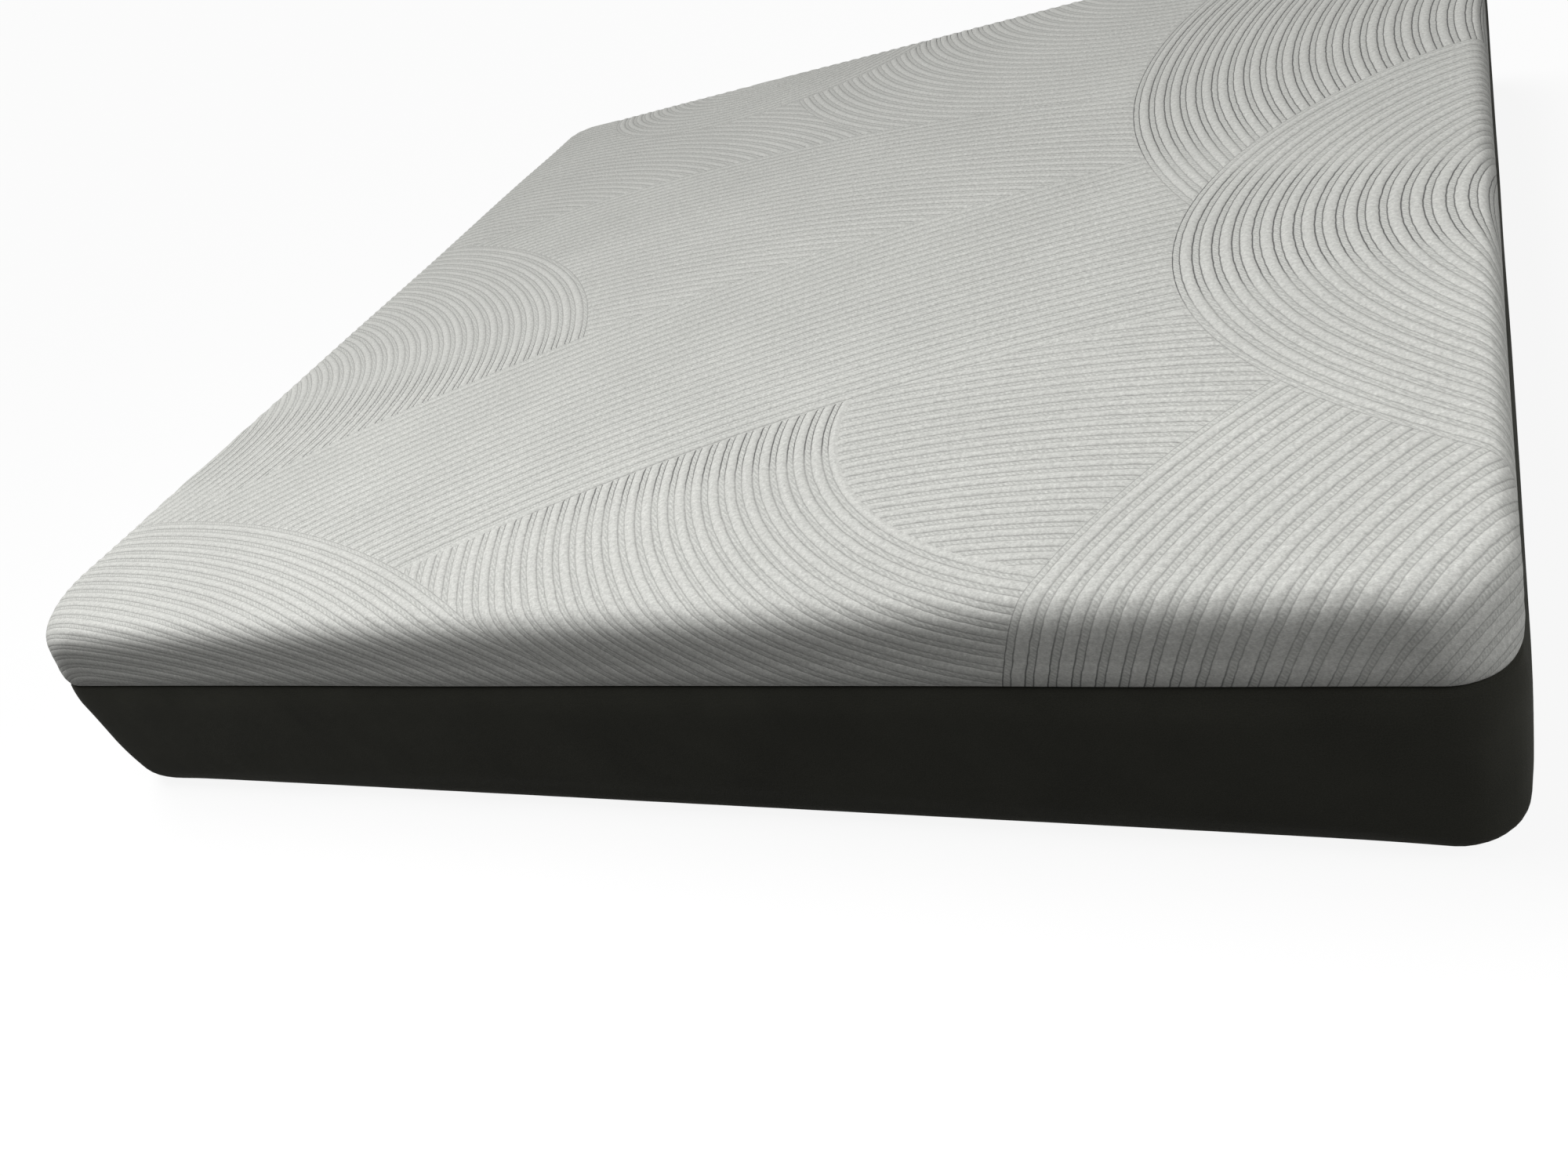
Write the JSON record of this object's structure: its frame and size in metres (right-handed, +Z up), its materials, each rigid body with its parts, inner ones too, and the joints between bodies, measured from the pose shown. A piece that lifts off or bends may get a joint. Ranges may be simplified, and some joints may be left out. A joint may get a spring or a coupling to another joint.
{
  "type": "memory foam mattress",
  "caption": "Thick foam mattress in a zipped cover: light grey ripple-knit top over rounded edges, plain charcoal border below a seam, layered foam inside.",
  "frame": {"origin": "under the middle of the mattress, on the surface that it rests on", "axes": "+X along the longer, near side; +Y away from the near side, towards the zip; +Z up"},
  "size_m": [2.032, 1.93, 0.34],
  "materials": {
    "top_knit": "light grey heathered knit, raised ripple",
    "border_knit": "plain charcoal knit",
    "underside_fabric": "plain dark non-slip fabric",
    "binding_tape": "woven tape",
    "sock_knit": "thin off-white knit",
    "cooling_foam": "open-cell foam, pale blue",
    "memory_foam": "slow-recovery open-cell foam, cream",
    "transition_foam": "open-cell foam, pale grey",
    "support_foam": "dense open-cell foam, grey",
    "zip_tape": "woven black tape",
    "zip_coil": "black nylon coil",
    "zip_metal": "black enamelled die-cast zinc"
  },
  "bodies": {
    "mattress": {"top_cover": "top_knit", "border_band": "border_knit", "bottom_panel": "underside_fabric", "seam_tape": "binding_tape", "fire_sock": "sock_knit", "cooling_foam": "cooling_foam", "memory_foam": "memory_foam", "transition_foam": "transition_foam", "support_core": "support_foam", "zip_tape_upper": "zip_tape", "zip_tape_lower": "zip_tape", "zip_coil_upper": "zip_coil", "zip_coil_lower": "zip_coil", "zip_top_stop": "zip_metal", "zip_bottom_stop": "zip_metal"},
    "slider": {"zip_slider": "zip_metal"},
    "pull": {"zip_pull": "zip_metal"}
  },
  "joints": [
    {"name": "zip_slide", "type": "slide", "parent": "mattress", "child": "slider", "axis": [1, 0, 0], "range_m": [0, 1.6142]},
    {"name": "pull_turn", "type": "hinge", "parent": "slider", "child": "pull", "pos_m": [-0.8091, 0.9595, 0.054], "axis": [0, 0, 1], "range_deg": [0, 180]}
  ]
}
